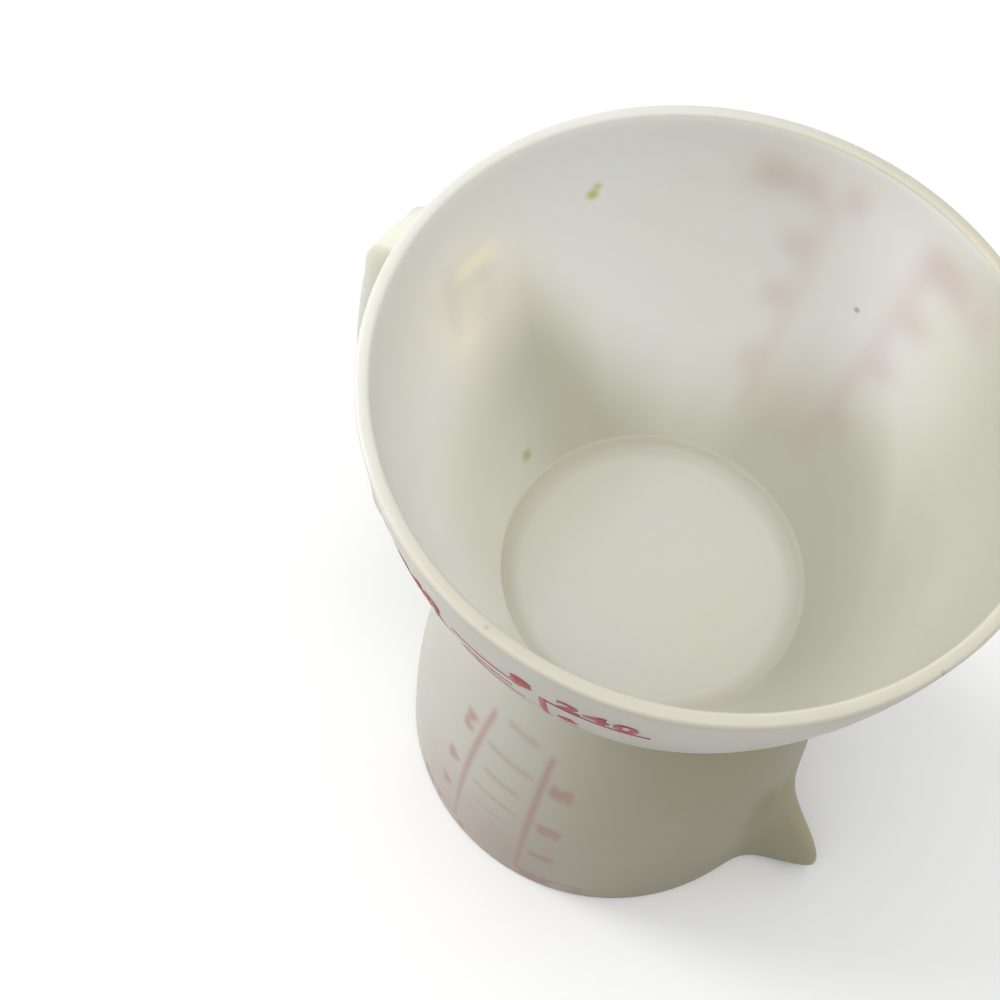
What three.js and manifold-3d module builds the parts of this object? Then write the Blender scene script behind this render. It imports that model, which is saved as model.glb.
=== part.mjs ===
// Double-sided measuring cup: a dry cup above, a liquid cup below, one floor between them.
// Millimetres, +Z up. The cup stands on the liquid cup's rim. The spout points to +X and the handle
// to -X. Everything is drawn about the axis of the cups, and the group is then moved along X, so that
// the origin is in the rim's plane, in the middle between the spout's tip and the grip.
import * as THREE from "three";
import { mergeVertices } from "three/addons/utils/BufferGeometryUtils.js";
import Module from "manifold-3d";

// Cups: driving dimensions
const OVERALL_HEIGHT = 134;
const FLOOR_HEIGHT = 68.6;          // upper face of the shared floor
const FLOOR_THICKNESS = 2.2;
const FLOOR_FILLET = 2;             // inside corner between the floor and each wall
const DRY_RIM_RADIUS = 51;          // outside of the upper rim
const LIQUID_RIM_RADIUS = 40.5;     // outside of the lower rim
const WAIST_RADIUS = 27;            // where the two outer walls would meet
const WALL = 2.2;                   // measured level, square to the axis
const DRY_WALL_BULGE = 4.2;         // how far the upper wall swells from a straight cone
const LIQUID_WALL_POWER = 3;        // the lower wall stays upright and turns in near the waist
const RIM_EDGE_RADIUS = 0.6;

// Spout of the liquid cup
const SPOUT_REACH = 13;             // how far its tip stands out from the lower rim
const SPOUT_HEIGHT = 30.9;          // where its ridge starts on the wall
const SPOUT_LIFT = 4;               // how far its lip lies above the plane of the lower rim
const SPOUT_SPREAD = 3.8;           // half width, at 42 percent of its reach
const SPOUT_CHANNEL_SPREAD = 2.9;   // the same for the inside of the spout

// Handle
const HANDLE_WIDTH = 10.6;
const HANDLE_THICKNESS = 5.5;
const HANDLE_EDGE_RADIUS = 1.6;
const HANDLE_TOP_DROP = 14;         // from the dry rim down to the upper arm
const HANDLE_BOTTOM_RISE = 18.4;    // from the liquid rim up to the lower arm
const HANDLE_STAND_OUT = 11.4;      // from the dry rim out to the grip, below its upper corner
const HANDLE_LEAN = 0.3;            // how much nearer the axis the grip is above its lower corner
const HANDLE_BOW = 3;               // how far the grip bows out between its corners
const HANDLE_CORNER = 11.8;         // outer corner radius
const HANDLE_INNER_CORNER = 7;      // height of the hollow between each arm and the grip
const HANDLE_TOP_FALL = 2.5;        // how much lower the upper arm is at the wall than at the grip
const HANDLE_ROOT_HEIGHT = 12.5;    // height of each arm where it meets its wall
const HANDLE_ROOT_STEP = 2.6;       // from the wall to the seat of the grip
const HANDLE_ROOT_DEPTH = 5;        // how far the uncut bar runs inwards, before the wall trims it

// Fineness of the curved faces
const TURN_STEPS = 72;
const SPOUT_TURN_STEPS = 84;
const SPOUT_CROWDING = 0.72;        // draws the steps together at the spout
const WALL_STEPS = 8;
const EDGE_STEPS = 2;
const WAIST_STEPS = 4;
const BEVEL_STEPS = 3;
const CORNER_STEPS = 6;

const waistHeight = FLOOR_HEIGHT - FLOOR_THICKNESS / 2;
const drySeam = FLOOR_HEIGHT + FLOOR_FILLET;
const liquidSeam = FLOOR_HEIGHT - FLOOR_THICKNESS - FLOOR_FILLET;

// Outer radius of the upper wall: a cone that swells by a parabola
function dryRadius(z) {
  const share = (z - waistHeight) / (OVERALL_HEIGHT - waistHeight);
  const cone = WAIST_RADIUS + (DRY_RIM_RADIUS - WAIST_RADIUS) * share;
  return cone + 4 * DRY_WALL_BULGE * share * (1 - share);
}

// Outer radius of the lower wall, without the spout
function liquidRadius(z) {
  const share = z / waistHeight;
  return LIQUID_RIM_RADIUS - (LIQUID_RIM_RADIUS - WAIST_RADIUS) * share ** LIQUID_WALL_POWER;
}

const wasm = await Module();
wasm.setup();

// A closed three.js geometry as a solid
function solid(geometry) {
  const bare = new THREE.BufferGeometry();
  bare.setAttribute("position", geometry.getAttribute("position").clone());
  if (geometry.index) bare.setIndex(geometry.index.clone());
  const merged = mergeVertices(bare, 1e-4);
  const mesh = new wasm.Mesh({
    numProp: 3,
    vertProperties: new Float32Array(merged.getAttribute("position").array),
    triVerts: new Uint32Array(merged.index.array),
  });
  mesh.merge();
  return new wasm.Manifold(mesh);
}

// A solid back as a three.js geometry
function geometryOf(body) {
  const mesh = body.getMesh();
  const geometry = new THREE.BufferGeometry();
  geometry.setAttribute("position", new THREE.BufferAttribute(new Float32Array(mesh.vertProperties), 3));
  geometry.setIndex(new THREE.BufferAttribute(new Uint32Array(mesh.triVerts), 1));
  geometry.computeVertexNormals();
  return geometry;
}

// Points of a wall profile between two heights, [radius, height] each
function wallLine(radiusAt, from, to, steps) {
  const line = [];
  for (let i = 0; i <= steps; i++) {
    const z = from + ((to - from) * i) / steps;
    line.push([radiusAt(z), z]);
  }
  return line;
}

// A rounded edge: an arc about a centre, between two angles from the outward direction
function arcLine(radius, height, size, from, to, steps) {
  const line = [];
  for (let i = 0; i <= steps; i++) {
    const angle = from + ((to - from) * i) / steps;
    line.push([radius + size * Math.cos(angle), height + size * Math.sin(angle)]);
  }
  return line;
}

// A closed profile turned about the axis. Heights are +Z.
function turned(profile) {
  const points = profile.map(([radius, height]) => new THREE.Vector2(radius, height));
  const geometry = new THREE.LatheGeometry(points, TURN_STEPS);
  geometry.rotateX(Math.PI / 2);
  return geometry;
}

// Farther than any point of the cup, for the blocks that part the handle from its roots
const FAR = 2 * OVERALL_HEIGHT;

// A block across the handle's plane. Its corners are set one by one, so that blocks which share a
// face share it exactly.
function box(minX, maxX, minZ, maxZ) {
  const geometry = new THREE.BoxGeometry(1, 2 * FAR, 1);
  const corners = geometry.getAttribute("position");
  for (let i = 0; i < corners.count; i++) {
    corners.setX(i, corners.getX(i) > 0 ? maxX : minX);
    corners.setZ(i, corners.getZ(i) > 0 ? maxZ : minZ);
  }
  return solid(geometry);
}

// Handle bar: one side outline for grip, arms and flared roots, with its long edges rounded.
// The outline runs in (distance from the axis, height).
const gripTop = OVERALL_HEIGHT - HANDLE_TOP_DROP;
const gripBottom = HANDLE_BOTTOM_RISE;
const topRootRadius = dryRadius(gripTop);
const bottomRootRadius = liquidRadius(gripBottom);
const topSeat = topRootRadius + HANDLE_ROOT_STEP;
const bottomSeat = bottomRootRadius + HANDLE_ROOT_STEP;
const gripMiddle = (gripTop + gripBottom) / 2;
const topReach = DRY_RIM_RADIUS + HANDLE_STAND_OUT;
const bottomReach = topReach - HANDLE_LEAN;

function handleBar() {
  const inset = HANDLE_EDGE_RADIUS;
  const topInner = topReach - HANDLE_THICKNESS;
  const bottomInner = bottomReach - HANDLE_THICKNESS;
  const flare = HANDLE_ROOT_HEIGHT - HANDLE_THICKNESS;
  const rootTop = gripTop - HANDLE_TOP_FALL;
  const rootUnder = rootTop - HANDLE_ROOT_HEIGHT;
  const rootDepthEnd = dryRadius(rootUnder) - HANDLE_ROOT_DEPTH;
  const armUnder = gripTop - HANDLE_THICKNESS;
  const armOver = gripBottom + HANDLE_THICKNESS;
  const rootOver = armOver + flare;
  const bowReach = (topReach + bottomReach) / 2 + 2 * HANDLE_BOW;
  const innerBowReach = bowReach - HANDLE_THICKNESS;
  const halfStep = HANDLE_ROOT_STEP / 2;
  const shape = new THREE.Shape();
  shape.moveTo(bottomRootRadius - HANDLE_ROOT_DEPTH, gripBottom);
  shape.lineTo(bottomReach - HANDLE_CORNER, gripBottom);
  shape.quadraticCurveTo(bottomReach, gripBottom, bottomReach, gripBottom + HANDLE_CORNER);
  shape.quadraticCurveTo(bowReach, gripMiddle, topReach, gripTop - HANDLE_CORNER);
  shape.quadraticCurveTo(topReach, gripTop, topReach - HANDLE_CORNER, gripTop);
  shape.lineTo(topRootRadius, rootTop);
  shape.lineTo(rootDepthEnd, rootTop);
  shape.lineTo(rootDepthEnd, rootUnder);
  shape.lineTo(dryRadius(rootUnder), rootUnder);
  shape.quadraticCurveTo(topSeat - halfStep, armUnder, topSeat + halfStep, armUnder);
  shape.quadraticCurveTo(topInner, armUnder, topInner, armUnder - HANDLE_INNER_CORNER);
  shape.quadraticCurveTo(innerBowReach, gripMiddle, bottomInner, armOver + HANDLE_INNER_CORNER);
  shape.quadraticCurveTo(bottomInner, armOver, bottomSeat + halfStep, armOver);
  shape.quadraticCurveTo(bottomSeat - halfStep, armOver, liquidRadius(rootOver), rootOver);
  shape.lineTo(bottomRootRadius - HANDLE_ROOT_DEPTH, rootOver);
  shape.closePath();
  const geometry = new THREE.ExtrudeGeometry(shape, {
    depth: HANDLE_WIDTH - 2 * inset,
    bevelThickness: inset,
    bevelSize: inset,
    bevelOffset: -inset,
    bevelSegments: BEVEL_STEPS,
    curveSegments: CORNER_STEPS,
  });
  geometry.translate(0, 0, inset - HANDLE_WIDTH / 2);
  geometry.rotateX(Math.PI / 2);
  geometry.rotateZ(Math.PI);
  return solid(geometry);
}

const bar = handleBar();
const aboveTopSeat = box(-FAR, -topSeat, gripMiddle, FAR);
const beyondBottomSeat = box(-FAR, -bottomSeat, -FAR, gripMiddle);
const gripSpace = aboveTopSeat.add(beyondBottomSeat);
const insideTopSeat = box(-topSeat, 0, gripMiddle, FAR);
const insideBottomSeat = box(-bottomSeat, 0, -FAR, gripMiddle);

// The middle of each wall, as a solid core that trims a handle root inside the wall
function core(radiusAt, from, to) {
  const line = wallLine((z) => radiusAt(z) - WALL / 2, from, to, WALL_STEPS);
  return solid(turned([[0, from], ...line, [0, to]]));
}

// Dry cup: the upper wall with its rounded rim and the root of the upper arm
function dryCup() {
  const edge = RIM_EDGE_RADIUS;
  const top = OVERALL_HEIGHT - edge;
  const outer = dryRadius(top);
  const profile = [
    ...wallLine(dryRadius, drySeam, top, WALL_STEPS),
    ...arcLine(outer - edge, top, edge, 0, Math.PI / 2, EDGE_STEPS).slice(1),
    ...arcLine(outer - WALL + edge, top, edge, Math.PI / 2, Math.PI, EDGE_STEPS),
    ...wallLine((z) => dryRadius(z) - WALL, top, drySeam, WALL_STEPS).slice(1),
    [dryRadius(drySeam), drySeam],
  ];
  const root = bar.intersect(insideTopSeat).subtract(core(dryRadius, drySeam, OVERALL_HEIGHT));
  return geometryOf(solid(turned(profile)).add(root));
}

// A point of the lower wall with the spout: the wall swells out round the ridge, and its lip is lifted
function spoutedPoint(angle, radius, height, spread) {
  const share = Math.max(0, 1 - height / SPOUT_HEIGHT);
  const crest = 1 / Math.cosh((angle * radius) / spread) ** 2;
  const reach = radius + SPOUT_REACH * share * share * (3 - 2 * share) * crest;
  return [reach * Math.cos(angle), reach * Math.sin(angle), height + SPOUT_LIFT * share * crest];
}

// Turn angles from -180 to 180 degrees, close together at the spout
function spoutAngles() {
  const angles = [];
  for (let i = 0; i < SPOUT_TURN_STEPS; i++) {
    const even = (2 * Math.PI * i) / SPOUT_TURN_STEPS - Math.PI;
    angles.push(even - SPOUT_CROWDING * Math.sin(even));
  }
  return angles;
}

// Liquid cup: the lower wall, drawn out into the spout, and the root of the lower arm
function liquidCup() {
  const edge = RIM_EDGE_RADIUS;
  const rim = liquidRadius(edge);
  const inside = [
    ...wallLine((z) => liquidRadius(z) - WALL, liquidSeam, edge, WALL_STEPS),
    ...arcLine(rim - WALL + edge, edge, edge, Math.PI, 1.5 * Math.PI, EDGE_STEPS).slice(1),
  ];
  const outside = [
    ...arcLine(rim - edge, edge, edge, 1.5 * Math.PI, 2 * Math.PI, EDGE_STEPS),
    ...wallLine(liquidRadius, edge, liquidSeam, WALL_STEPS).slice(1),
  ];
  const profile = [
    ...inside.map(([radius, height]) => ({ radius, height, spread: SPOUT_CHANNEL_SPREAD })),
    ...outside.map(([radius, height]) => ({ radius, height, spread: SPOUT_SPREAD })),
  ];
  const angles = spoutAngles();
  const positions = [];
  for (const { radius, height, spread } of profile) {
    for (const angle of angles) positions.push(...spoutedPoint(angle, radius, height, spread));
  }
  const indices = [];
  const across = angles.length;
  for (let i = 0; i < profile.length; i++) {
    const next = (i + 1) % profile.length;
    for (let j = 0; j < across; j++) {
      const beside = (j + 1) % across;
      const a = i * across + j;
      const b = i * across + beside;
      const c = next * across + beside;
      const d = next * across + j;
      indices.push(a, b, c, a, c, d);
    }
  }
  const geometry = new THREE.BufferGeometry();
  geometry.setAttribute("position", new THREE.BufferAttribute(new Float32Array(positions), 3));
  geometry.setIndex(indices);
  const root = bar.intersect(insideBottomSeat).subtract(core(liquidRadius, 0, liquidSeam));
  return geometryOf(solid(geometry).add(root));
}

// Divider: the floor that both cups share, with its ring at the waist and a fillet on both sides
function divider() {
  const inner = dryRadius(drySeam) - WALL;
  const lowerInner = liquidRadius(liquidSeam) - WALL;
  const floorUnder = FLOOR_HEIGHT - FLOOR_THICKNESS;
  const waist = new THREE.QuadraticBezierCurve(
    new THREE.Vector2(liquidRadius(liquidSeam), liquidSeam),
    new THREE.Vector2(WAIST_RADIUS, waistHeight),
    new THREE.Vector2(dryRadius(drySeam), drySeam),
  );
  const profile = [
    [0, floorUnder],
    ...arcLine(lowerInner - FLOOR_FILLET, liquidSeam, FLOOR_FILLET, Math.PI / 2, 0, EDGE_STEPS),
    ...waist.getPoints(WAIST_STEPS).map((point) => [point.x, point.y]),
    ...arcLine(inner - FLOOR_FILLET, drySeam, FLOOR_FILLET, 0, -Math.PI / 2, EDGE_STEPS),
    [0, FLOOR_HEIGHT],
  ];
  return turned(profile);
}

// Materials: milky plastic, a little warmer where it is thick
function plastic(color, roughness) {
  return new THREE.MeshStandardMaterial({ color, roughness, metalness: 0 });
}

const cup = new THREE.Group();

function place(name, geometry, material) {
  const mesh = new THREE.Mesh(geometry, material);
  mesh.name = name;
  cup.add(mesh);
}

place("dry_cup", dryCup(), plastic(0xd8d8cb, 0.42));
place("liquid_cup", liquidCup(), plastic(0xcfcfbd, 0.4));
place("shared_floor", divider(), plastic(0xd6d0b8, 0.45));
place("handle", geometryOf(bar.intersect(gripSpace)), plastic(0xd9d9bd, 0.38));

const extent = new THREE.Box3().setFromObject(cup);
cup.position.x = -(extent.min.x + extent.max.x) / 2;

export default cup;
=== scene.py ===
import math

import bmesh
import bpy
import numpy as np
from mathutils import Matrix, Vector
from mathutils.bvhtree import BVHTree


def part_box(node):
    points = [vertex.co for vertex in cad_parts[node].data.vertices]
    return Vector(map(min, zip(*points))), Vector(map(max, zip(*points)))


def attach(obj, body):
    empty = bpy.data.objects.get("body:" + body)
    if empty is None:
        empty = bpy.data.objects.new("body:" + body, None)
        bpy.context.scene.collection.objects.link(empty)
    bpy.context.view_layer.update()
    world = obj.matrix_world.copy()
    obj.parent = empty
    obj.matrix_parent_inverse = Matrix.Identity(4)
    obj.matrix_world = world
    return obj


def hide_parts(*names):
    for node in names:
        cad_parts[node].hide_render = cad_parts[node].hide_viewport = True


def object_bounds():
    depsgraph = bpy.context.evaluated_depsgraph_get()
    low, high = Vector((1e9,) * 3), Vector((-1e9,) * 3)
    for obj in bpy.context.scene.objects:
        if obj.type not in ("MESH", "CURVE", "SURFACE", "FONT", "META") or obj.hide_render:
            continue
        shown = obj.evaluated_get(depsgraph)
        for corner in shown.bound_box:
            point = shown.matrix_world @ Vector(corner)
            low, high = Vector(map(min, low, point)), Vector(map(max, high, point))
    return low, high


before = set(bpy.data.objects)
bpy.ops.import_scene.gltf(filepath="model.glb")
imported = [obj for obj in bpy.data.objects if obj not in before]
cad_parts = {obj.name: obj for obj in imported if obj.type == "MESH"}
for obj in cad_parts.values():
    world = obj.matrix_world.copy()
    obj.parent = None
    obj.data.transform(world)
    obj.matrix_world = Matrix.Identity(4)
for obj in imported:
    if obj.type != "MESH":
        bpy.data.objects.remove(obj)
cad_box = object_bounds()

MM = 0.001

# Places that the parts in model.glb give
floor_low, floor_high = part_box("shared_floor")
AXIS_X = (floor_low.x + floor_high.x) / 2 / MM
HEIGHT = cad_box[1].z / MM
LIQUID_SEAM = floor_low.z / MM
DRY_SEAM = floor_high.z / MM
WAIST_HEIGHT = (LIQUID_SEAM + DRY_SEAM) / 2

# Cups
FLOOR_FILLET = 2.0
DRY_RIM_RADIUS = 51.0
LIQUID_RIM_RADIUS = 40.5
WAIST_RADIUS = 27.0
WALL = 2.2
DRY_WALL_BULGE = 4.2
LIQUID_WALL_POWER = 3
RIM_EDGE_RADIUS = 0.6
FLOOR_TOP = DRY_SEAM - FLOOR_FILLET
FLOOR_UNDER = LIQUID_SEAM + FLOOR_FILLET

# Spout
SPOUT_REACH = 13.0
SPOUT_HEIGHT = 30.9
SPOUT_LIFT = 4.0
SPOUT_SPREAD = 3.8
SPOUT_CHANNEL_SPREAD = 2.9

# Handle
HANDLE_WIDTH = 10.6
HANDLE_THICKNESS = 5.5
HANDLE_EDGE_RADIUS = 1.6
ROUNDED_ABOVE_ANGLE = 50
HANDLE_TOP_DROP = 14.0
HANDLE_BOTTOM_RISE = 18.4
HANDLE_STAND_OUT = 11.4
HANDLE_LEAN = 0.3
HANDLE_BOW = 3.0
HANDLE_CORNER = 11.8
HANDLE_INNER_CORNER = 7.0
HANDLE_TOP_FALL = 2.5
HANDLE_ROOT_HEIGHT = 12.5
HANDLE_ROOT_STEP = 2.6

# Fineness of the meshes
PRINTED_ROW = 0.55
PLAIN_ROW = 1.6
TURN_STEPS = 400
ARC_STEPS = 6
CURVE_STEPS = 20

# Printed scales: azimuths of their middles, and sizes on the wall
CUBIC_MM_PER_OUNCE = 29573.5
FRONT = -91.4
BACK = 88.5
DRY_PRINT_RADIUS = 43.5
LIQUID_PRINT_RADIUS = 38.5
SCALE_HALF_TURN = 42
LINE_HALF_WIDTH = 0.48
LINE_LENGTH = 13.8
RAIL_FOOT = 0.8
TICK_HALF_WIDTH = 0.3
TICK_HALF_LENGTHS = {"odd": 4.0, "even": 5.6}
TICK_FIELD_HALF_WIDTH = 10
FRACTION_SIZE = 4.4
FRACTION_SPACING = 0.85
FRACTION_SHIFT = 0.6
OUNCE_SIZE = 6.0
HEAD_GAP = 0.5
HEAD_RISE = 0.36
HEAD_NUMBERS = (("1", -20.4, 1.0), ("240", -12.0, 1.0), ("8", 5.6, 1.0), ("240", 15.6, 1.2))
BOLDNESS = 0.045
INK_HEIGHT = 0.05

# Soft print: blurs in millimetres, and how strongly the short lines show
GRID_STEP = 0.3
LINE_BLUR = 0.45
TICK_BLUR = 0.5
GHOST_BLUR = 1.6
FIELD_BLUR = 3.0
TICK_SHARE = 0.75
FIELD_SHARE = 0.16
GHOST_SHARE = 0.945

# Tones painted by place, painted shade among them: pairs are where a tone starts and ends to change, in
# millimetres
# Painted shade on the dry cup's inner wall, and a little on the floor's rounded edge
SHADE_EDGE = (
    # azimuth in degrees, height of the edge, and how deep the painted shade is below
    (0, 98, 1.0), (60, 101, 0.9), (90, 93, 0.85), (106, 83, 0.75), (122, 80, 0.85), (145, 87, 1.0),
    (165, 107, 0.95), (184, 100, 0.65), (204, 94, 0.5), (240, 84, 0.35), (300, 86, 0.5), (360, 98, 1.0),
)
SHADE_FADE_BELOW = 16
SHADE_FADE_ABOVE = 12
SHADE_RIGHT = (5, 38)
SHADE_FLOOR_EDGE = 0.15
# Yellowing, with painted shade in the same tone: on the outside, most by the spout, on the rim's right and on
# the floor
AGED_AND_SHADED_OUTSIDE = 0.48
AGED_AND_SHADED_LESS_AT_TOP = 0.16
AGED_AND_SHADED_MORE_AT_SPOUT = 0.52
AGED_AND_SHADED_FLOOR = 0.42
AGED_AND_SHADED_LESS_ON_FLOOR = 0.13
AGED_AND_SHADED_MORE_AT_FLOOR_EDGE = 0.08
AGED_AND_SHADED_RIM = 0.30
AGED_AND_SHADED_MORE_ON_RIM = 0.28
AGED_AND_SHADED_TOP = (95, 124)
AGED_AND_SHADED_SPOUT_SIDE = (-14, 38)
AGED_AND_SHADED_SPOUT_HEIGHT = (60, 105)
AGED_AND_SHADED_FLOOR_SIDE = (-24, -6)
AGED_AND_SHADED_RIM_SIDE = (-42, 5)
HAZE_STRENGTH = 0.44
HAZE_TURN = -4
HAZE_BESIDE = (12, 36)
HAZE_HEIGHT = (8, 38)


# Outlines
def dry_radius(z):
    """Outer radius of the upper wall"""
    share = (z - WAIST_HEIGHT) / (HEIGHT - WAIST_HEIGHT)
    cone = WAIST_RADIUS + (DRY_RIM_RADIUS - WAIST_RADIUS) * share
    return cone + 4 * DRY_WALL_BULGE * share * (1 - share)


def liquid_radius(z):
    """Outer radius of the lower wall, without the spout"""
    share = z / WAIST_HEIGHT
    return LIQUID_RIM_RADIUS - (LIQUID_RIM_RADIUS - WAIST_RADIUS) * share**LIQUID_WALL_POWER


def wall_line(radius_at, start, stop, step):
    """Points of a wall profile, [radius, height] each"""
    heights = np.linspace(start, stop, max(2, round(abs(stop - start) / step)) + 1)
    return [[radius_at(z), z] for z in heights]


def arc_line(radius, height, size, start, stop):
    """A rounded edge, between two angles in degrees from the outward direction"""
    angles = np.radians(np.linspace(start, stop, ARC_STEPS + 1))
    return [[radius + size * math.cos(a), height + size * math.sin(a)] for a in angles]


def curve_line(start, corner, end, steps=CURVE_STEPS):
    """Points of a quadratic curve, its start left out"""
    start, corner, end = (np.array(p, float) for p in (start, corner, end))
    shares = np.linspace(0, 1, steps + 1)[1:]
    return [list((1 - t) ** 2 * start + 2 * t * (1 - t) * corner + t * t * end) for t in shares]


def smooth_step(value, low, high):
    """0 below low, 1 above high, and a smooth rise between them"""
    share = np.clip((np.asarray(value, float) - low) / (high - low), 0, 1)
    return share * share * (3 - 2 * share)


# Pieces
def new_piece(name, points, faces, material):
    """A smooth mesh object from points in millimetres about the cups' axis"""
    mesh = bpy.data.meshes.new(name)
    mesh.from_pydata(((np.asarray(points, float) + [AXIS_X, 0, 0]) * MM).tolist(), [], faces)
    mesh.polygons.foreach_set("use_smooth", [True] * len(mesh.polygons))
    mesh.materials.append(material)
    mesh.update()
    piece = bpy.data.objects.new(name, mesh)
    bpy.context.scene.collection.objects.link(piece)
    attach(piece, "root")
    return piece


def shell_rows():
    """Rows of the shell from the middle of the floor's upper face, over both rims, to its underside.
    Each is (radius, height, spread of the spout there, surface)."""
    edge = RIM_EDGE_RADIUS
    top = HEIGHT - edge
    inner = dry_radius(DRY_SEAM) - WALL - FLOOR_FILLET
    lower_inner = liquid_radius(LIQUID_SEAM) - WALL - FLOOR_FILLET
    rim = dry_radius(top)
    lower_rim = liquid_radius(edge)
    out, channel = SPOUT_SPREAD, SPOUT_CHANNEL_SPREAD
    shares = np.linspace(0, 1, 17)[1:-1]
    waist_start = [dry_radius(DRY_SEAM), DRY_SEAM]
    waist_end = [liquid_radius(LIQUID_SEAM), LIQUID_SEAM]
    lower_inside = wall_line(lambda z: liquid_radius(z) - WALL, edge, LIQUID_SEAM, PLAIN_ROW)
    parts = [
        ([[inner * share, FLOOR_TOP] for share in shares], out, "floor"),
        (arc_line(inner, DRY_SEAM, FLOOR_FILLET, -90, 0), out, "floor_edge"),
        (wall_line(lambda z: dry_radius(z) - WALL, DRY_SEAM, top, PRINTED_ROW)[1:], out, "dry_inside"),
        (arc_line(rim - WALL + edge, top, edge, 180, 90)[1:], out, "rim_inside"),
        (arc_line(rim - edge, top, edge, 90, 0), out, "rim_outside"),
        (wall_line(dry_radius, top, DRY_SEAM, PLAIN_ROW)[1:], out, "dry_outside"),
        (curve_line(waist_start, [WAIST_RADIUS, WAIST_HEIGHT], waist_end), out, "waist"),
        (wall_line(liquid_radius, LIQUID_SEAM, edge, PRINTED_ROW)[1:], out, "liquid_outside"),
        (arc_line(lower_rim - edge, edge, edge, 0, -90)[1:], out, "lower_rim"),
        (arc_line(lower_rim - WALL + edge, edge, edge, -90, -180), channel, "lower_rim"),
        (lower_inside[1:], channel, "liquid_inside"),
        (arc_line(lower_inner, LIQUID_SEAM, FLOOR_FILLET, 0, 90)[1:], channel, "floor"),
        ([[lower_inner * share, FLOOR_UNDER] for share in shares[::-1]], channel, "floor"),
    ]
    return [(r, z, spread, surface) for line, spread, surface in parts for r, z in line]


def turn_angles():
    """Angles round the axis, closer together at the scales, the spout and the handle"""
    even = np.linspace(-180, 180, 7201)
    density = 1 + 2.6 * (np.abs(np.abs(even) - 90) < 34) + 2 * (np.abs(even) < 20) + 2 * (np.abs(even) > 165)
    run = np.concatenate([[0], np.cumsum((density[1:] + density[:-1]) / 2)])
    return np.radians(np.interp(np.arange(TURN_STEPS) / TURN_STEPS * run[-1], run, even))


def spouted_ring(angles, radius, height, spread):
    """One ring of the shell: the lower wall swells out at the spout, and its lip is lifted"""
    share = max(0.0, 1 - height / SPOUT_HEIGHT)
    crest = 1 / np.cosh(angles * radius / spread) ** 2
    reach = radius + SPOUT_REACH * share**2 * (3 - 2 * share) * crest
    return np.stack([reach * np.cos(angles), reach * np.sin(angles), height + SPOUT_LIFT * share * crest], 1)


def paint(piece, name, values):
    """A number at every point of a piece, for its material"""
    layer = piece.data.attributes.new(name, "FLOAT", "POINT")
    layer.data.foreach_set("value", np.asarray(values, np.float32))


def cup_shell(material, dry_frame, dry_field, liquid_frame, liquid_ticks):
    """Both cups and the floor between them, as the one moulding that they are, with the soft print on it.
    dry_field is the whole area between the rails, where the short lines behind the wall run together."""
    rows = shell_rows()
    angles = turn_angles()
    across = len(angles)
    poles = [[[0, 0, FLOOR_TOP], [0, 0, FLOOR_UNDER]]]
    points = np.concatenate([spouted_ring(angles, r, z, spread) for r, z, spread, _ in rows] + poles)
    top_pole, under_pole = len(points) - 2, len(points) - 1
    last = (len(rows) - 1) * across
    faces = []
    for j in range(across):
        k = (j + 1) % across
        faces.append((top_pole, j, k))
        faces.append((last + j, under_pole, last + k))
        for ring in range(0, last, across):
            faces.append((ring + j, ring + across + j, ring + across + k, ring + k))
    shell = new_piece("cup_shell", points, faces, material)
    surfaces = np.repeat([surface for _, _, _, surface in rows], across)
    surfaces = np.append(surfaces, ["floor", "floor"])
    outer = surfaces == "liquid_outside"
    z = points[:, 2]
    lines = printed(points, outer, ink_map(liquid_frame, LINE_BLUR), LIQUID_PRINT_RADIUS, -1, -z)
    ticks = printed(points, outer, ink_map(liquid_ticks, TICK_BLUR), LIQUID_PRINT_RADIUS, -1, -z)
    paint(shell, "faded_print", np.maximum(np.maximum(lines, TICK_SHARE * ticks), outer * ink_haze(points)))
    within = surfaces == "dry_inside"
    seen = DRY_SEAM + GHOST_SHARE * (z - DRY_SEAM)
    between = printed(points, within, ink_map(dry_field, FIELD_BLUR), DRY_PRINT_RADIUS, 1, seen)
    through = printed(points, within, ink_map(dry_frame, GHOST_BLUR), DRY_PRINT_RADIUS, 1, seen)
    through += FIELD_SHARE * between
    lower = surfaces == "liquid_inside"
    through += printed(points, lower, ink_map(liquid_frame, GHOST_BLUR), LIQUID_PRINT_RADIUS, -1, -z)
    paint(shell, "print_behind", through)
    paint(shell, "root_glow", root_glow(points) * within)
    # painted shade on the inside
    paint(shell, "dullness", dullness(points, surfaces))
    # yellowing, and painted shade by the spout, on the rim's right and on the floor
    paint(shell, "ageing", ageing(points, surfaces))
    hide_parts("dry_cup", "liquid_cup", "shared_floor")
    return shell


def soft_spot(value, middle, width):
    """1 in the middle and softly fading on both sides"""
    return np.exp(-(((value - middle) / width) ** 2))


def root_glow(points):
    """Where the upper root of the handle shows through the wall: a bright line over a paler, leaning
    patch, and a faint glow round both"""
    x, y, z = points.T
    top = HEIGHT - HANDLE_TOP_DROP - HANDLE_TOP_FALL
    middle = top - 0.66 * HANDLE_ROOT_HEIGHT
    leaning = 0.3 * (z - middle) - 0.8
    line = soft_spot(z, top - 0.5, 1.9) * smooth_step(y, -5.0, 0.5) * (1 - smooth_step(y, 3.0, 9.5))
    patch = 0.5 * soft_spot(y, leaning, 4.0) * soft_spot(z, middle, 6.0)
    around = 0.3 * soft_spot(y, 1, 12) * soft_spot(z, middle + 2, 12)
    return (1 - (1 - line) * (1 - patch) * (1 - around)) * (x < 0)


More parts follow.
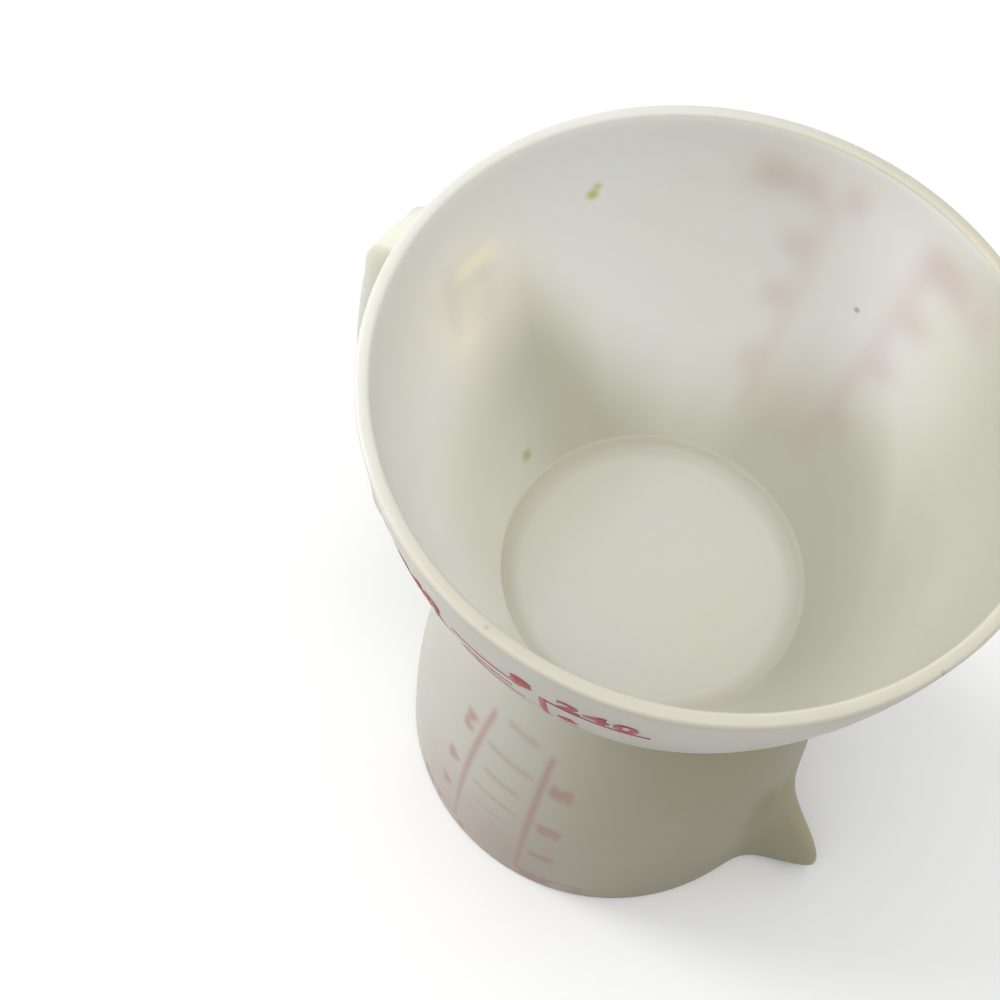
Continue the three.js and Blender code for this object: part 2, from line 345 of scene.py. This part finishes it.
def ink_haze(points):
    """The pink cast of worn-off ink round the lower end of the faded scales"""
    haze = np.zeros(len(points))
    azimuth = np.degrees(np.arctan2(points[:, 1], points[:, 0]))
    for middle in (FRONT, BACK):
        beside = 1 - smooth_step(np.abs(azimuth - middle - HAZE_TURN), *HAZE_BESIDE)
        haze = np.maximum(haze, HAZE_STRENGTH * beside * (1 - smooth_step(points[:, 2], *HAZE_HEIGHT)))
    return haze


def dullness(points, surfaces):
    """Painted shade on the inside: darkest below an edge that slopes down from the handle's root, and on the
    right; a little on the floor's rounded edge
    """
    azimuth = np.degrees(np.arctan2(points[:, 1], points[:, 0])) % 360
    turns, edges, depths = np.array(SHADE_EDGE, float).T
    edge = np.interp(azimuth, turns, edges)
    above = smooth_step(points[:, 2], edge - SHADE_FADE_BELOW, edge + SHADE_FADE_ABOVE)
    below = np.interp(azimuth, turns, depths) * (1 - above)
    right = smooth_step(points[:, 0], *SHADE_RIGHT)
    share = np.where(surfaces == "dry_inside", np.maximum(below, right), 0.0)
    return np.where(surfaces == "floor_edge", SHADE_FLOOR_EDGE, share)


def ageing(points, surfaces):
    """How yellowed the plastic is, with painted shade in the same tone: none on the dry cup's inner wall,
    most by the spout, more on the rim's right side
    """
    x, _, z = points.T
    by_spout = smooth_step(x, *AGED_AND_SHADED_SPOUT_SIDE) * (1 - smooth_step(z, *AGED_AND_SHADED_SPOUT_HEIGHT))
    outside = AGED_AND_SHADED_OUTSIDE - AGED_AND_SHADED_LESS_AT_TOP * smooth_step(z, *AGED_AND_SHADED_TOP) + AGED_AND_SHADED_MORE_AT_SPOUT * by_spout
    floor = AGED_AND_SHADED_FLOOR - AGED_AND_SHADED_LESS_ON_FLOOR * smooth_step(x, *AGED_AND_SHADED_FLOOR_SIDE)
    rim = AGED_AND_SHADED_RIM + AGED_AND_SHADED_MORE_ON_RIM * smooth_step(x, *AGED_AND_SHADED_RIM_SIDE)
    share = np.where(surfaces == "dry_inside", 0.0, outside)
    share = np.where(surfaces == "floor", floor, share)
    share = np.where(surfaces == "floor_edge", floor + AGED_AND_SHADED_MORE_AT_FLOOR_EDGE, share)
    return np.where(np.isin(surfaces, ("rim_inside", "rim_outside")), rim, share)


def handle_outline():
    """Side outline of the strap, (distance from the axis, height), with its roots ending in the walls"""
    grip_top = HEIGHT - HANDLE_TOP_DROP
    grip_bottom = HANDLE_BOTTOM_RISE
    middle = (grip_top + grip_bottom) / 2
    top_reach = DRY_RIM_RADIUS + HANDLE_STAND_OUT
    bottom_reach = top_reach - HANDLE_LEAN
    top_inner = top_reach - HANDLE_THICKNESS
    bottom_inner = bottom_reach - HANDLE_THICKNESS
    bow = (top_reach + bottom_reach) / 2 + 2 * HANDLE_BOW
    root_top = grip_top - HANDLE_TOP_FALL
    root_under = root_top - HANDLE_ROOT_HEIGHT
    arm_under = grip_top - HANDLE_THICKNESS
    arm_over = grip_bottom + HANDLE_THICKNESS
    root_over = grip_bottom + HANDLE_ROOT_HEIGHT
    top_seat = dry_radius(grip_top) + HANDLE_ROOT_STEP
    bottom_seat = liquid_radius(grip_bottom) + HANDLE_ROOT_STEP
    half_step = HANDLE_ROOT_STEP / 2
    line = [[liquid_radius(grip_bottom) - WALL / 2, grip_bottom], [bottom_reach - HANDLE_CORNER, grip_bottom]]
    line += curve_line(line[-1], [bottom_reach, grip_bottom], [bottom_reach, grip_bottom + HANDLE_CORNER])
    line += curve_line(line[-1], [bow, middle], [top_reach, grip_top - HANDLE_CORNER])
    line += curve_line(line[-1], [top_reach, grip_top], [top_reach - HANDLE_CORNER, grip_top])
    line += wall_line(lambda z: dry_radius(z) - WALL / 2, root_top, root_under, PLAIN_ROW)
    line += [[dry_radius(root_under), root_under]]
    line += curve_line(line[-1], [top_seat - half_step, arm_under], [top_seat + half_step, arm_under])
    line += curve_line(line[-1], [top_inner, arm_under], [top_inner, arm_under - HANDLE_INNER_CORNER])
    inner_bend = [bottom_inner, arm_over + HANDLE_INNER_CORNER]
    line += curve_line(line[-1], [bow - HANDLE_THICKNESS, middle], inner_bend)
    line += curve_line(line[-1], [bottom_inner, arm_over], [bottom_seat + half_step, arm_over])
    line += curve_line(line[-1], [bottom_seat - half_step, arm_over], [liquid_radius(root_over), root_over])
    line += wall_line(lambda z: liquid_radius(z) - WALL / 2, root_over, grip_bottom + 1, PLAIN_ROW)
    return line


def strap_handle(material):
    """The strap, from its outline, with rounded long edges"""
    line = handle_outline()
    count = len(line)
    points = [[-r, y, z] for y in (-HANDLE_WIDTH / 2, HANDLE_WIDTH / 2) for r, z in line]
    faces = [tuple(range(count)), tuple(range(2 * count - 1, count - 1, -1))]
    faces += [(i, i + count, (i + 1) % count + count, (i + 1) % count) for i in range(count)]
    handle = new_piece("strap_handle", points, faces, material)
    shape = bmesh.new()
    shape.from_mesh(handle.data)
    bmesh.ops.recalc_face_normals(shape, faces=shape.faces)
    shape.to_mesh(handle.data)
    shape.free()
    rounding = handle.modifiers.new("rounded edges", "BEVEL")
    rounding.width = HANDLE_EDGE_RADIUS * MM
    rounding.segments = ARC_STEPS
    rounding.limit_method = "ANGLE"
    rounding.angle_limit = math.radians(ROUNDED_ABOVE_ANGLE)
    rounding.harden_normals = True
    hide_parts("handle")
    return handle


# Printed scales
def fill_marks(radius_at, floor, up):
    """Heights, counted upwards when in use, at which one to eight ounces stand"""
    depth = np.linspace(0, HEIGHT / 2, 2400)
    area = math.pi * (radius_at(floor + up * depth) - WALL) ** 2
    held = np.concatenate([[0], np.cumsum((area[1:] + area[:-1]) / 2 * np.diff(depth))])
    return [float(up * floor + np.interp(n * CUBIC_MM_PER_OUNCE, held, depth)) for n in range(1, 9)]


def bar_mesh(left, low, right, high):
    """A flat rectangle in cells of about a millimetre"""
    across = max(1, round(right - left))
    along = max(1, round(high - low))
    points = [(left + (right - left) * i / across, low + (high - low) * j / along)
              for j in range(along + 1) for i in range(across + 1)]
    row = across + 1
    faces = [(j * row + i, j * row + i + 1, (j + 1) * row + i + 1, (j + 1) * row + i)
             for j in range(along) for i in range(across)]
    return points, faces


def number_mesh(text, size, place, spacing):
    """A flat, bold number in the built-in font, centred on a place"""
    curve = bpy.data.curves.new("number", "FONT")
    curve.body = text
    curve.size = size
    curve.space_character = spacing
    curve.align_x = "CENTER"
    curve.align_y = "CENTER"
    curve.offset = BOLDNESS * size
    curve.resolution_u = 3
    holder = bpy.data.objects.new("number", curve)
    mesh = bpy.data.meshes.new_from_object(holder)
    points = [(v.co.x + place[0], v.co.y + place[1]) for v in mesh.vertices]
    faces = [tuple(p.vertices) for p in mesh.polygons]
    bpy.data.objects.remove(holder)
    bpy.data.curves.remove(curve)
    bpy.data.meshes.remove(mesh)
    return points, faces


def joined(parts):
    """Several flat meshes as one"""
    points, faces = [], []
    for part_points, part_faces in parts:
        start = len(points)
        points += part_points
        faces += [tuple(i + start for i in face) for face in part_faces]
    return points, faces


def scale_frame(marks, rail, label, head, width):
    """Rails, lines and numbers of a scale, flat: across and up when in use, in millimetres.
    rail and label are how far out the rails and the small numbers are, head is the top numbers' size,
    and width is half a rail's width."""
    top = marks[-1]
    high = top + LINE_HALF_WIDTH
    parts = []
    for side in (-1, 1):
        parts.append(bar_mesh(side * rail - width, marks[0] + RAIL_FOOT, side * rail + width, high))
        left, right = sorted((side * rail, side * (rail + LINE_LENGTH)))
        parts.append(bar_mesh(left, top - LINE_HALF_WIDTH, right, high))
    for n, cups in ((2, "1/4"), (4, "1/2"), (6, "3/4")):
        place = (-label - FRACTION_SHIFT, marks[n - 1])
        parts.append(number_mesh(cups, FRACTION_SIZE, place, FRACTION_SPACING))
        parts.append(number_mesh(str(n), OUNCE_SIZE, (label, marks[n - 1]), 1.0))
    above = top + HEAD_GAP + HEAD_RISE * head
    for text, across, spacing in HEAD_NUMBERS:
        parts.append(number_mesh(text, head, (across, above), spacing))
    return joined(parts)


def scale_ticks(marks):
    """The short line at every ounce, flat"""
    lines = []
    for n, mark in enumerate(marks, 1):
        half = TICK_HALF_LENGTHS["odd" if n % 2 else "even"]
        lines.append(bar_mesh(-half, mark - TICK_HALF_WIDTH, half, mark + TICK_HALF_WIDTH))
    return joined(lines)


def ink_map(flat, blur):
    """Share of ink over a flat scale, blurred, as a grid, and the grid's lower corner"""
    flat_points, faces = flat
    tree = BVHTree.FromPolygons([(u, v, 0.0) for u, v in flat_points], faces)
    low = np.min(flat_points, 0) - 3 * blur
    steps = np.ceil((np.max(flat_points, 0) + 3 * blur - low) / GRID_STEP).astype(int) + 1
    share = np.zeros(steps)
    for i, j in np.ndindex(*steps):
        place = (low[0] + i * GRID_STEP, low[1] + j * GRID_STEP, 0.0)
        share[i, j] = tree.find_nearest(place, GRID_STEP / 2)[3] is not None
    reach = round(3 * blur / GRID_STEP)
    bell = np.exp(-((np.arange(-reach, reach + 1) * GRID_STEP / blur) ** 2) / 2)
    for axis in (0, 1):
        share = np.apply_along_axis(np.convolve, axis, share, bell / bell.sum(), "same")
    return share, low


def printed(points, chosen, inked, print_radius, up, heights):
    """Share of blurred ink at each chosen point, from both scales of that cup.
    heights are where on the scale each point looks, counted upwards when in use."""
    share, low = inked
    strength = np.zeros(len(points))
    azimuth = np.degrees(np.arctan2(points[:, 1], points[:, 0]))
    for middle in (FRONT, BACK):
        near = np.nonzero(chosen & (np.abs(azimuth - middle) < SCALE_HALF_TURN))[0]
        across = up * np.radians(azimuth[near] - middle) * print_radius
        cell = (np.stack([across, heights[near]], 1) - low) / GRID_STEP
        inside = ((cell >= 0) & (cell < np.array(share.shape) - 1)).all(1)
        near, cell = near[inside], cell[inside]
        i, j = np.floor(cell).astype(int).T
        s, t = (cell % 1).T
        lower = share[i, j] * (1 - s) + share[i + 1, j] * s
        upper = share[i, j + 1] * (1 - s) + share[i + 1, j + 1] * s
        strength[near] = lower * (1 - t) + upper * t
    return strength


def ink_scale(name, flat, middle, material):
    """A crisp scale as a thin film of ink on the outside of the dry cup"""
    flat_points, faces = flat
    radius = np.array([dry_radius(v) for _, v in flat_points]) + INK_HEIGHT
    azimuth = math.radians(middle) + np.array([u for u, _ in flat_points]) / DRY_PRINT_RADIUS
    height = np.array([v for _, v in flat_points])
    points = np.stack([radius * np.cos(azimuth), radius * np.sin(azimuth), height], 1)
    ink = new_piece(name, points, faces, material)
    film = ink.modifiers.new("film", "SOLIDIFY")
    film.thickness = 2 * INK_HEIGHT * MM
    film.offset = -1
    return ink


# Plastic: how far light wanders in the walls and in the thick handle, in millimetres, and its colours
SCATTER = 3.5
THICK_SCATTER = 10.0
SCATTER_BY_COLOUR = (1.0, 0.94, 0.8)
PLASTIC_IOR = 1.49
GRAIN_SCALE = 420
GRAIN_STRENGTH = 0.12
GRAIN_DEPTH = 0.1
SHEEN_ROUGHNESS = (0.34, 0.46)
WARM_CLOUDS_SCALE = 34
COOL_CLOUDS_SCALE = 27
CLOUD_SHIFT = (0.31, 0.17, 0.53)
CLOUD_AMOUNT = 0.7
CUP_TINTS = ((0.89, 0.89, 0.86), (0.89, 0.872, 0.80), (0.88, 0.89, 0.895))
HANDLE_TINTS = ((0.80, 0.80, 0.66), (0.81, 0.79, 0.60), (0.79, 0.80, 0.72))
PAINTED_TONES = (
    # painted number, how strongly it tints, and the tint
    # yellowing, and painted shade by the spout, on the rim's right and on the floor
    ("ageing", 1.0, (0.45, 0.41, 0.26, 1)),
    # painted shade on the inside
    ("dullness", 1.0, (0.57, 0.565, 0.485, 1)),
    ("faded_print", 0.75, (0.50, 0.24, 0.22, 1)),
    ("print_behind", 0.5, (0.66, 0.42, 0.43, 1)),
    ("root_glow", 0.9, (0.98, 0.87, 0.67, 1)),
)
GLOW_COLOUR = (1.0, 0.82, 0.56, 1)
GLOW_STRENGTH = 0.2
SPECKS = (
    # place, radius, width of its soft edge, and tint: four on the wall, four small dark marks where the rim
    # is nicked
    ((-39.5, 24.4, 119.2), 0.2, 1.5, (0.66, 0.64, 0.32, 1)),
    ((-39.4, 25.2, 120.6), 0.1, 1.2, (0.70, 0.68, 0.42, 1)),
    ((3.5, 43.2, 107.9), 0.2, 0.6, (0.52, 0.52, 0.45, 1)),
    ((-29.6, 0.6, 75.8), 0.2, 1.6, (0.48, 0.49, 0.30, 1)),
    ((44.6, -18.9, 133.4), 0.1, 0.5, (0.34, 0.34, 0.29, 1)),
    ((43.0, -22.6, 133.4), 0.1, 0.4, (0.40, 0.40, 0.34, 1)),
    ((48.0, -15.9, 133.6), 0.1, 0.5, (0.34, 0.34, 0.29, 1)),
    ((-0.8, -49.9, 133.9), 0.1, 0.5, (0.50, 0.50, 0.45, 1)),
)

# Ink
DARK_INK = (0.34, 0.02, 0.04, 1)
PALE_INK = (0.58, 0.10, 0.10, 1)
INK_PATCH_SCALE = 260
INK_WEAR_SCALE = 700
INK_ROUGHNESS = 0.5


def add_node(tree, kind, inputs=None, **settings):
    """A shader node with its settings, and with numbers or links for its inputs"""
    made = tree.nodes.new(kind)
    for key, value in settings.items():
        setattr(made, key, value)
    for key, value in (inputs or {}).items():
        if isinstance(value, bpy.types.NodeSocket):
            tree.links.new(value, made.inputs[key])
        else:
            made.inputs[key].default_value = value
    return made


def new_group(name, inputs, outputs):
    """An empty node group with named sockets, its input and output nodes"""
    group = bpy.data.node_groups.new(name, "ShaderNodeTree")
    for socket_name, kind in inputs.items():
        group.interface.new_socket(socket_name, in_out="INPUT", socket_type=kind)
    for socket_name, kind in outputs.items():
        group.interface.new_socket(socket_name, in_out="OUTPUT", socket_type=kind)
    return group, group.nodes.new("NodeGroupInput"), group.nodes.new("NodeGroupOutput")


def mix_colour(tree, factor, first, second):
    """The colour between two, or between a link and a colour"""
    return add_node(tree, "ShaderNodeMix", {0: factor, 6: first, 7: second}, data_type="RGBA").outputs[2]


def maths(tree, operation, first, second, kind="ShaderNodeMath"):
    """A sum, product or the like of two values, as a link"""
    return add_node(tree, kind, {0: first, 1: second}, operation=operation).outputs[0]


def noise(tree, place, scale, detail):
    """Noise at a place, as a link"""
    inputs = {"Vector": place, "Scale": scale, "Detail": detail}
    return add_node(tree, "ShaderNodeTexNoise", inputs).outputs["Fac"]


def remapped(tree, value, low, high, to_low=0.0, to_high=1.0, fade="LINEAR"):
    """A value brought from one range to another, and held within it, as a link"""
    limits = {"Value": value, "From Min": low, "From Max": high, "To Min": to_low, "To Max": to_high}
    return add_node(tree, "ShaderNodeMapRange", limits, interpolation_type=fade).outputs[0]


def clouds_group():
    """Milky plastic: soft clouds of two tints over a base colour, and a fine grain of the surface"""
    colour, number = "NodeSocketColor", "NodeSocketFloat"
    group, given, result = new_group(
        "milky_clouds",
        {"Colour": colour, "Warm": colour, "Cool": colour, "Amount": number},
        {"Colour": colour, "Grain": number, "Roughness": number},
    )
    place = add_node(group, "ShaderNodeTexCoord").outputs["Object"]
    shifted = maths(group, "ADD", place, CLOUD_SHIFT, "ShaderNodeVectorMath")
    warm = noise(group, place, WARM_CLOUDS_SCALE, 2)
    cool = noise(group, shifted, COOL_CLOUDS_SCALE, 1)
    warm_amount = maths(group, "MULTIPLY", remapped(group, warm, 0.4, 0.7), given.outputs["Amount"])
    cool_amount = maths(group, "MULTIPLY", remapped(group, cool, 0.42, 0.68), given.outputs["Amount"])
    warmed = mix_colour(group, warm_amount, given.outputs["Colour"], given.outputs["Warm"])
    cooled = mix_colour(group, cool_amount, warmed, given.outputs["Cool"])
    group.links.new(cooled, result.inputs["Colour"])
    group.links.new(noise(group, place, GRAIN_SCALE, 3), result.inputs["Grain"])
    group.links.new(remapped(group, warm, 0.3, 0.7, *SHEEN_ROUGHNESS), result.inputs["Roughness"])
    return group


def painted(tree, name, factor):
    """A painted number times a factor, as a link"""
    number = add_node(tree, "ShaderNodeAttribute", attribute_name=name).outputs["Fac"]
    return maths(tree, "MULTIPLY", number, factor)


def speck_mask(tree, place, size, soft):
    """1 within a distance of a place, fading to 0: for a speck or stain, all in millimetres"""
    spot = ((place[0] + AXIS_X) * MM, place[1] * MM, place[2] * MM)
    here = add_node(tree, "ShaderNodeTexCoord").outputs["Object"]
    away = add_node(tree, "ShaderNodeVectorMath", {0: here, 1: spot}, operation="DISTANCE").outputs["Value"]
    return remapped(tree, away, size * MM, (size + soft) * MM, 1, 0, "SMOOTHSTEP")


def bare_material(name):
    """A material with its tree, its shader and nothing else"""
    material = bpy.data.materials.new(name)
    material.use_nodes = True
    tree = material.node_tree
    return material, tree, tree.nodes["Principled BSDF"]


def milky_base(tree, shader, clouds, tints, scatter):
    """What both plastics share: clouds, grain, satin gloss and light that wanders inside"""
    milk = tree.nodes.new("ShaderNodeGroup")
    milk.node_tree = clouds
    for key, tint in zip(("Colour", "Warm", "Cool"), tints):
        milk.inputs[key].default_value = (*tint, 1)
    milk.inputs["Amount"].default_value = CLOUD_AMOUNT
    grain = {"Strength": GRAIN_STRENGTH, "Distance": GRAIN_DEPTH * MM, "Height": milk.outputs["Grain"]}
    bump = add_node(tree, "ShaderNodeBump", grain)
    tree.links.new(bump.outputs[0], shader.inputs["Normal"])
    tree.links.new(milk.outputs["Roughness"], shader.inputs["Roughness"])
    shader.inputs["IOR"].default_value = PLASTIC_IOR
    shader.inputs["Subsurface Weight"].default_value = 1.0
    shader.inputs["Subsurface Radius"].default_value = SCATTER_BY_COLOUR
    shader.inputs["Subsurface Scale"].default_value = scatter * MM
    return milk.outputs["Colour"]


def cup_plastic(clouds):
    """The moulding, with its painted tones, faded print and specks"""
    material, tree, shader = bare_material("milky_plastic")
    colour = milky_base(tree, shader, clouds, CUP_TINTS, SCATTER)
    for name, factor, tint in PAINTED_TONES:
        colour = mix_colour(tree, painted(tree, name, factor), colour, tint)
    for place, size, soft, tint in SPECKS:
        colour = mix_colour(tree, speck_mask(tree, place, size, soft), colour, tint)
    tree.links.new(colour, shader.inputs["Base Color"])
    glow = mix_colour(tree, painted(tree, "root_glow", 1.0), (0, 0, 0, 1), GLOW_COLOUR)
    tree.links.new(glow, shader.inputs["Emission Color"])
    shader.inputs["Emission Strength"].default_value = GLOW_STRENGTH
    return material


def handle_plastic(clouds):
    """The same plastic where it is thick: a little yellower"""
    material, tree, shader = bare_material("milky_plastic_handle")
    colour = milky_base(tree, shader, clouds, HANDLE_TINTS, THICK_SCATTER)
    tree.links.new(colour, shader.inputs["Base Color"])
    return material


def ink_material():
    """Red printing ink, darker and paler by turns, worn through in places"""
    material, tree, shader = bare_material("red_ink")
    place = add_node(tree, "ShaderNodeTexCoord").outputs["Object"]
    patchy = noise(tree, place, INK_PATCH_SCALE, 3)
    worn = noise(tree, place, INK_WEAR_SCALE, 4)
    colour = mix_colour(tree, remapped(tree, patchy, 0.35, 0.68), DARK_INK, PALE_INK)
    tree.links.new(colour, shader.inputs["Base Color"])
    tree.links.new(remapped(tree, worn, 0.22, 0.32), shader.inputs["Alpha"])
    shader.inputs["Roughness"].default_value = INK_ROUGHNESS
    return material


# Studio
FLOOR_SEEN_COLOUR = 1.0
FLOOR_BOUNCE_COLOUR = 0.36
FLOOR_REACH = 6.0
ROOM_STRENGTH = 0.05
ROOM_COLOUR = (1.0, 0.93, 0.76)
CEILING_SIDE = (0.08, 0.0, 0.99)
CEILING_LOW = 0.1
CEILING_STRENGTH = 0.88
CEILING_COLOUR = (0.99, 0.995, 1.0)
WINDOW_SIDE = (-0.92, -0.30, 0.25)
WINDOW_LOW = 0.2
WINDOW_STRENGTH = 0.45
SOFTBOXES = (
    # name, place in metres, width, watts and colour
    ("overhead_softbox", (0.16, -0.22, 1.12), 0.9, 2.6, (0.98, 0.99, 1.0)),
    ("left_softbox", (-0.92, -0.30, 0.62), 0.4, 4.7, (0.99, 0.995, 1.0)),
)


def seen_directly(tree):
    """1 for camera rays and for rays that mirror or pass through, as a link"""
    path = add_node(tree, "ShaderNodeLightPath")
    mirrored = maths(tree, "MAXIMUM", path.outputs["Is Camera Ray"], path.outputs["Is Glossy Ray"])
    return maths(tree, "MAXIMUM", mirrored, path.outputs["Is Transmission Ray"])


def studio_floor():
    """Pale floor, which looks white where it is lit and keeps the cup's shadow"""
    material, tree, shader = bare_material("studio_floor")
    tree.nodes.remove(shader)
    shade = remapped(tree, seen_directly(tree), 0, 1, FLOOR_BOUNCE_COLOUR, FLOOR_SEEN_COLOUR)
    diffuse = add_node(tree, "ShaderNodeBsdfDiffuse", {"Color": shade})
    tree.links.new(diffuse.outputs[0], tree.nodes["Material Output"].inputs["Surface"])
    reach = FLOOR_REACH
    below = -INK_HEIGHT * MM
    corners = [(-reach, -reach, below), (reach, -reach, below), (reach, reach, below), (-reach, reach, below)]
    mesh = bpy.data.meshes.new("studio_floor")
    mesh.from_pydata(corners, [], [(0, 1, 2, 3)])
    mesh.materials.append(material)
    piece = bpy.data.objects.new("studio_floor", mesh)
    bpy.context.scene.collection.objects.link(piece)


def studio_world():
    """A dim warm room under a pale ceiling, with a window's light on the left, and white behind the floor"""
    world = bpy.data.worlds.new("studio")
    world.use_nodes = True
    tree = world.node_tree
    tree.nodes.clear()
    towards = add_node(tree, "ShaderNodeTexCoord").outputs["Generated"]

    def glow_from(side, low, strength, colour):
        """Soft light around one direction"""
        inputs = {0: towards, 1: side}
        facing = add_node(tree, "ShaderNodeVectorMath", inputs, operation="DOT_PRODUCT").outputs["Value"]
        return even_light(remapped(tree, facing, low, 1, 0, strength, "SMOOTHSTEP"), colour)

    def even_light(strength, colour):
        """Light of one colour, as strong as a number or link says"""
        inputs = {"Color": (*colour, 1), "Strength": strength}
        return add_node(tree, "ShaderNodeBackground", inputs).outputs[0]

    room = even_light(ROOM_STRENGTH, ROOM_COLOUR)
    ceiling = glow_from(CEILING_SIDE, CEILING_LOW, CEILING_STRENGTH, CEILING_COLOUR)
    window = glow_from(WINDOW_SIDE, WINDOW_LOW, WINDOW_STRENGTH, CEILING_COLOUR)
    above = add_node(tree, "ShaderNodeAddShader", {0: room, 1: ceiling}).outputs[0]
    ambient = add_node(tree, "ShaderNodeAddShader", {0: above, 1: window}).outputs[0]
    white = even_light(1.0, (1, 1, 1))
    mix = add_node(tree, "ShaderNodeMixShader", {0: seen_directly(tree), 1: ambient, 2: white})
    out = add_node(tree, "ShaderNodeOutputWorld", {"Surface": mix.outputs[0]})
    out.is_active_output = True
    bpy.context.scene.world = world


def studio_lamps():
    """Round softboxes that face the middle of the cup"""
    middle = Vector((0, 0, HEIGHT / 2 * MM))
    for name, place, width, watts, colour in SOFTBOXES:
        light = bpy.data.lights.new(name, "AREA")
        light.shape = "DISK"
        light.size = width
        light.energy = watts
        light.color = colour
        lamp = bpy.data.objects.new(name, light)
        lamp.location = place
        lamp.rotation_mode = "QUATERNION"
        lamp.rotation_quaternion = (middle - Vector(place)).to_track_quat("-Z", "Y")
        bpy.context.scene.collection.objects.link(lamp)


# Camera: place in millimetres, angles in degrees, and pixels of the 1000 by 1000 picture
CAMERA_PLACE = (48.24, -117.10, 324.36)
CAMERA_YAW = -29.509
CAMERA_PITCH = 60.616
CAMERA_ROLL = 10.525
PICTURE = 1000
FOCAL_PIXELS = 1602.18
OPTICAL_CENTRE = (554.72, 449.91)


def photo_camera():
    """Camera at the photograph's place, from its yaw, downward pitch and roll"""
    data = bpy.data.cameras.new("photo_camera")
    data.sensor_width = 36
    data.lens = FOCAL_PIXELS / PICTURE * data.sensor_width
    data.shift_x = (PICTURE / 2 - OPTICAL_CENTRE[0]) / PICTURE
    data.shift_y = (OPTICAL_CENTRE[1] - PICTURE / 2) / PICTURE
    data.clip_start = 0.01
    data.clip_end = 50
    yaw, pitch, roll = (math.radians(angle) for angle in (CAMERA_YAW, CAMERA_PITCH, CAMERA_ROLL))
    forward = Vector((math.sin(yaw) * math.cos(pitch), math.cos(yaw) * math.cos(pitch), -math.sin(pitch)))
    level_right = Vector((math.cos(yaw), -math.sin(yaw), 0))
    level_up = level_right.cross(forward)
    right = math.cos(roll) * level_right + math.sin(roll) * level_up
    up = -math.sin(roll) * level_right + math.cos(roll) * level_up
    camera = bpy.data.objects.new("photo_camera", data)
    turn = Matrix((right, up, -forward)).transposed().to_4x4()
    camera.matrix_world = Matrix.Translation(Vector(CAMERA_PLACE) * MM) @ turn
    bpy.context.scene.collection.objects.link(camera)
    bpy.context.scene.camera = camera


# Everything put together
dry_marks = fill_marks(dry_radius, FLOOR_TOP, 1)
liquid_marks = fill_marks(liquid_radius, FLOOR_UNDER, -1)
dry_frame = scale_frame(dry_marks, rail=8.6, label=11.9, head=6.0, width=0.5)
liquid_frame = scale_frame(liquid_marks, rail=7.7, label=11.4, head=4.6, width=0.45)
dry_scale = joined([dry_frame, scale_ticks(dry_marks)])
dry_field = bar_mesh(-TICK_FIELD_HALF_WIDTH, dry_marks[0], TICK_FIELD_HALF_WIDTH, dry_marks[-1])
clouds = clouds_group()
cup_shell(cup_plastic(clouds), dry_frame, dry_field, liquid_frame, scale_ticks(liquid_marks))
strap_handle(handle_plastic(clouds))
red_ink = ink_material()
ink_scale("front_scale_ink", dry_scale, FRONT, red_ink)
ink_scale("back_scale_ink", dry_scale, BACK, red_ink)

studio_floor()
studio_world()
studio_lamps()
photo_camera()
bpy.context.scene.view_settings.view_transform = "Standard"
